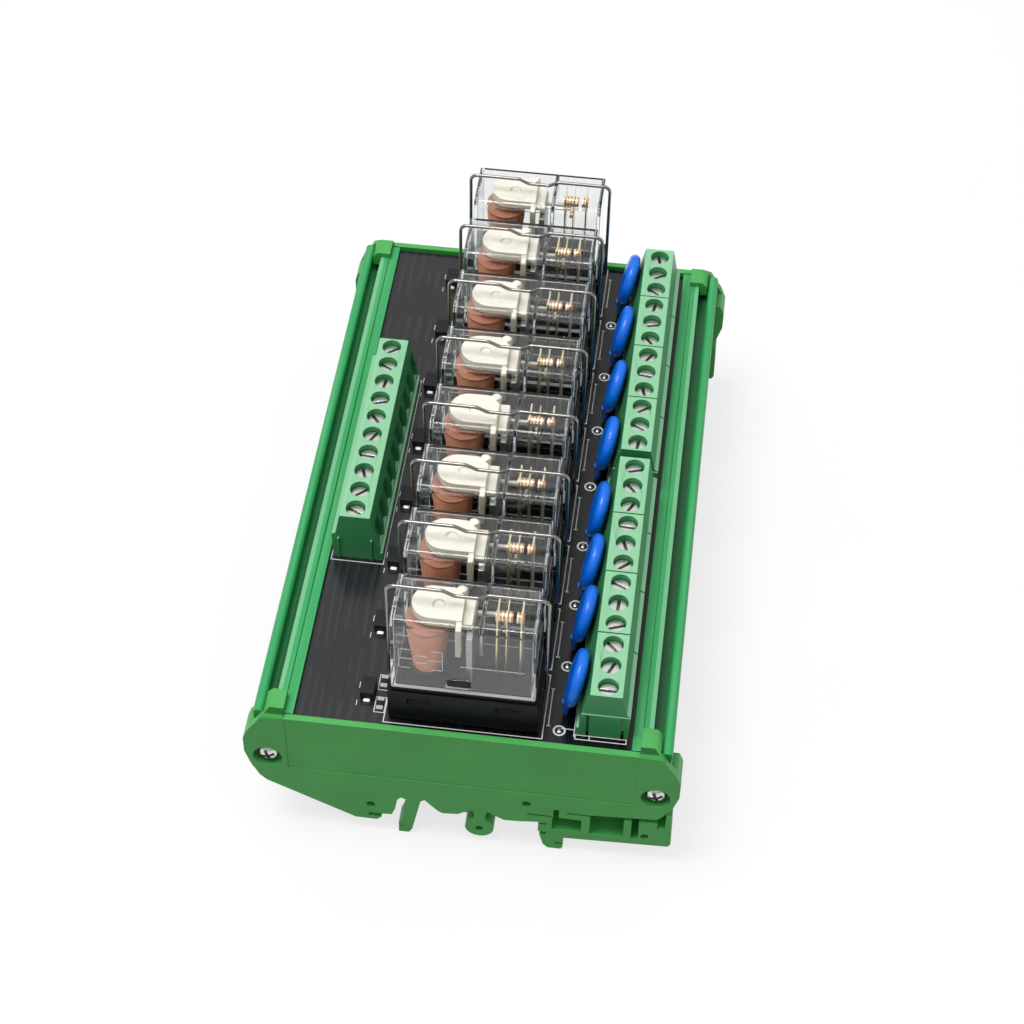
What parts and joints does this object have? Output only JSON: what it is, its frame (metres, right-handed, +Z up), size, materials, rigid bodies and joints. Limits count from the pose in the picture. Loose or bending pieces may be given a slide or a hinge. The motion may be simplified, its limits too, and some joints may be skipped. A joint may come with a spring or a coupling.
{
  "type": "relay module board",
  "caption": "Rail-mount interface relay module: plug-in relays with clear covers and wire clips on a black board in a green carrier, with screw terminals along both sides",
  "frame": {"origin": "middle of the footprint, at the level of the tips of the rail feet that it stands on", "axes": "+X across the carrier from the input terminals towards the output terminals; +Y along the row of relays and along the rail; +Z up from the rail through the board"},
  "size_m": [0.0842, 0.1356, 0.0637],
  "materials": {
    "carrier_green": "extruded, satin gloss",
    "plate_green": "moulded, fine grain",
    "screw_steel": "bright zinc plating",
    "board_black": "glossy black solder mask",
    "socket_black": "moulded, satin",
    "cover_clear": "clear plastic with moulded marks",
    "armature_ivory": "moulded, satin",
    "contact_gold": "bright",
    "clip_wire": "drawn spring wire, bright",
    "base_black": "moulded, satin",
    "yoke_iron": "plated iron",
    "coil_copper": "enamelled copper wire",
    "terminal_green": "moulded, satin",
    "varistor_blue": "dipped, glossy",
    "chip_black": "moulded, satin"
  },
  "bodies": {
    "module": {"carrier_profile": "carrier_green", "end_plate_front": "plate_green", "end_plate_rear": "plate_green", "end_plate_screws": "screw_steel", "terminal_screws": "screw_steel", "circuit_board": "board_black", "relay_socket_1": "socket_black", "relay_socket_2": "socket_black", "relay_socket_3": "socket_black", "relay_socket_4": "socket_black", "relay_socket_5": "socket_black", "relay_socket_6": "socket_black", "relay_socket_7": "socket_black", "relay_socket_8": "socket_black", "relay_cover_1": "cover_clear", "relay_cover_2": "cover_clear", "relay_cover_3": "cover_clear", "relay_cover_4": "cover_clear", "relay_cover_5": "cover_clear", "relay_cover_6": "cover_clear", "relay_cover_7": "cover_clear", "relay_cover_8": "cover_clear", "coil_bobbins": "armature_ivory", "fixed_contacts": "contact_gold", "relay_bases": "base_black", "relay_yokes": "yoke_iron", "terminal_clamps": "yoke_iron", "coil_windings": "coil_copper", "output_blocks_near": "terminal_green", "output_blocks_far": "terminal_green", "input_block": "terminal_green", "varistors": "varistor_blue", "diodes": "chip_black", "chip_parts": "chip_black"},
    "clip_1": {"retaining_clip_1": "clip_wire"},
    "armature_1": {"relay_armature_1": "armature_ivory"},
    "contact_1": {"moving_contact_1": "contact_gold"},
    "clip_2": {"retaining_clip_2": "clip_wire"},
    "armature_2": {"relay_armature_2": "armature_ivory"},
    "contact_2": {"moving_contact_2": "contact_gold"},
    "clip_3": {"retaining_clip_3": "clip_wire"},
    "armature_3": {"relay_armature_3": "armature_ivory"},
    "contact_3": {"moving_contact_3": "contact_gold"},
    "clip_4": {"retaining_clip_4": "clip_wire"},
    "armature_4": {"relay_armature_4": "armature_ivory"},
    "contact_4": {"moving_contact_4": "contact_gold"},
    "clip_5": {"retaining_clip_5": "clip_wire"},
    "armature_5": {"relay_armature_5": "armature_ivory"},
    "contact_5": {"moving_contact_5": "contact_gold"},
    "clip_6": {"retaining_clip_6": "clip_wire"},
    "armature_6": {"relay_armature_6": "armature_ivory"},
    "contact_6": {"moving_contact_6": "contact_gold"},
    "clip_7": {"retaining_clip_7": "clip_wire"},
    "armature_7": {"relay_armature_7": "armature_ivory"},
    "contact_7": {"moving_contact_7": "contact_gold"},
    "clip_8": {"retaining_clip_8": "clip_wire"},
    "armature_8": {"relay_armature_8": "armature_ivory"},
    "contact_8": {"moving_contact_8": "contact_gold"}
  },
  "joints": [
    {"name": "clip_turn_1", "type": "hinge", "parent": "module", "child": "clip_1", "pos_m": [0, -0.0574, 0.0378], "axis": [1, 0, 0], "range_deg": [-16, 18]},
    {"name": "clip_turn_2", "type": "hinge", "parent": "module", "child": "clip_2", "pos_m": [0, -0.04085, 0.0378], "axis": [1, 0, 0], "range_deg": [-18, 16]},
    {"name": "clip_turn_3", "type": "hinge", "parent": "module", "child": "clip_3", "pos_m": [0, -0.0243, 0.0378], "axis": [1, 0, 0], "range_deg": [-20, 14]},
    {"name": "clip_turn_4", "type": "hinge", "parent": "module", "child": "clip_4", "pos_m": [0, -0.00775, 0.0378], "axis": [1, 0, 0], "range_deg": [-22.5, 11.5]},
    {"name": "clip_turn_5", "type": "hinge", "parent": "module", "child": "clip_5", "pos_m": [0, 0.0088, 0.0378], "axis": [1, 0, 0], "range_deg": [-18.5, 15.5]},
    {"name": "clip_turn_6", "type": "hinge", "parent": "module", "child": "clip_6", "pos_m": [0, 0.02535, 0.0378], "axis": [1, 0, 0], "range_deg": [-18, 16]},
    {"name": "clip_turn_7", "type": "hinge", "parent": "module", "child": "clip_7", "pos_m": [0, 0.0419, 0.0378], "axis": [1, 0, 0], "range_deg": [-17, 17]},
    {"name": "clip_turn_8", "type": "hinge", "parent": "module", "child": "clip_8", "pos_m": [0, 0.05845, 0.0378], "axis": [1, 0, 0], "range_deg": [-17.5, 16.5]},
    {"name": "armature_rock_1", "type": "hinge", "parent": "module", "child": "armature_1", "pos_m": [0.0003, -0.0574, 0.0563], "axis": [0, -1, 0], "range_deg": [0, 2.6], "stiffness_Nm_per_rad": 0.005, "springref_deg": -11.46},
    {"name": "armature_rock_2", "type": "hinge", "parent": "module", "child": "armature_2", "pos_m": [0.0003, -0.04085, 0.0563], "axis": [0, -1, 0], "range_deg": [0, 2.6], "stiffness_Nm_per_rad": 0.005, "springref_deg": -11.46},
    {"name": "armature_rock_3", "type": "hinge", "parent": "module", "child": "armature_3", "pos_m": [0.0003, -0.0243, 0.0563], "axis": [0, -1, 0], "range_deg": [0, 2.6], "stiffness_Nm_per_rad": 0.005, "springref_deg": -11.46},
    {"name": "armature_rock_4", "type": "hinge", "parent": "module", "child": "armature_4", "pos_m": [0.0003, -0.00775, 0.0563], "axis": [0, -1, 0], "range_deg": [0, 2.6], "stiffness_Nm_per_rad": 0.005, "springref_deg": -11.46},
    {"name": "armature_rock_5", "type": "hinge", "parent": "module", "child": "armature_5", "pos_m": [0.0003, 0.0088, 0.0563], "axis": [0, -1, 0], "range_deg": [0, 2.6], "stiffness_Nm_per_rad": 0.005, "springref_deg": -11.46},
    {"name": "armature_rock_6", "type": "hinge", "parent": "module", "child": "armature_6", "pos_m": [0.0003, 0.02535, 0.0563], "axis": [0, -1, 0], "range_deg": [0, 2.6], "stiffness_Nm_per_rad": 0.005, "springref_deg": -11.46},
    {"name": "armature_rock_7", "type": "hinge", "parent": "module", "child": "armature_7", "pos_m": [0.0003, 0.0419, 0.0563], "axis": [0, -1, 0], "range_deg": [0, 2.6], "stiffness_Nm_per_rad": 0.005, "springref_deg": -11.46},
    {"name": "armature_rock_8", "type": "hinge", "parent": "module", "child": "armature_8", "pos_m": [0.0003, 0.05845, 0.0563], "axis": [0, -1, 0], "range_deg": [0, 2.6], "stiffness_Nm_per_rad": 0.005, "springref_deg": -11.46},
    {"name": "contact_bend_1", "type": "hinge", "parent": "module", "child": "contact_1", "pos_m": [0.0074, -0.0574, 0.0433], "axis": [0, 1, 0], "range_deg": [0, 2.3]},
    {"name": "contact_bend_2", "type": "hinge", "parent": "module", "child": "contact_2", "pos_m": [0.0074, -0.04085, 0.0433], "axis": [0, 1, 0], "range_deg": [0, 2.3]},
    {"name": "contact_bend_3", "type": "hinge", "parent": "module", "child": "contact_3", "pos_m": [0.0074, -0.0243, 0.0433], "axis": [0, 1, 0], "range_deg": [0, 2.3]},
    {"name": "contact_bend_4", "type": "hinge", "parent": "module", "child": "contact_4", "pos_m": [0.0074, -0.00775, 0.0433], "axis": [0, 1, 0], "range_deg": [0, 2.3]},
    {"name": "contact_bend_5", "type": "hinge", "parent": "module", "child": "contact_5", "pos_m": [0.0074, 0.0088, 0.0433], "axis": [0, 1, 0], "range_deg": [0, 2.3]},
    {"name": "contact_bend_6", "type": "hinge", "parent": "module", "child": "contact_6", "pos_m": [0.0074, 0.02535, 0.0433], "axis": [0, 1, 0], "range_deg": [0, 2.3]},
    {"name": "contact_bend_7", "type": "hinge", "parent": "module", "child": "contact_7", "pos_m": [0.0074, 0.0419, 0.0433], "axis": [0, 1, 0], "range_deg": [0, 2.3]},
    {"name": "contact_bend_8", "type": "hinge", "parent": "module", "child": "contact_8", "pos_m": [0.0074, 0.05845, 0.0433], "axis": [0, 1, 0], "range_deg": [0, 2.3]}
  ],
  "couplings": [
    {"joint": "contact_bend_1", "follows": "armature_rock_1", "ratio": 0.857},
    {"joint": "contact_bend_2", "follows": "armature_rock_2", "ratio": 0.857},
    {"joint": "contact_bend_3", "follows": "armature_rock_3", "ratio": 0.857},
    {"joint": "contact_bend_4", "follows": "armature_rock_4", "ratio": 0.857},
    {"joint": "contact_bend_5", "follows": "armature_rock_5", "ratio": 0.857},
    {"joint": "contact_bend_6", "follows": "armature_rock_6", "ratio": 0.857},
    {"joint": "contact_bend_7", "follows": "armature_rock_7", "ratio": 0.857},
    {"joint": "contact_bend_8", "follows": "armature_rock_8", "ratio": 0.857}
  ]
}
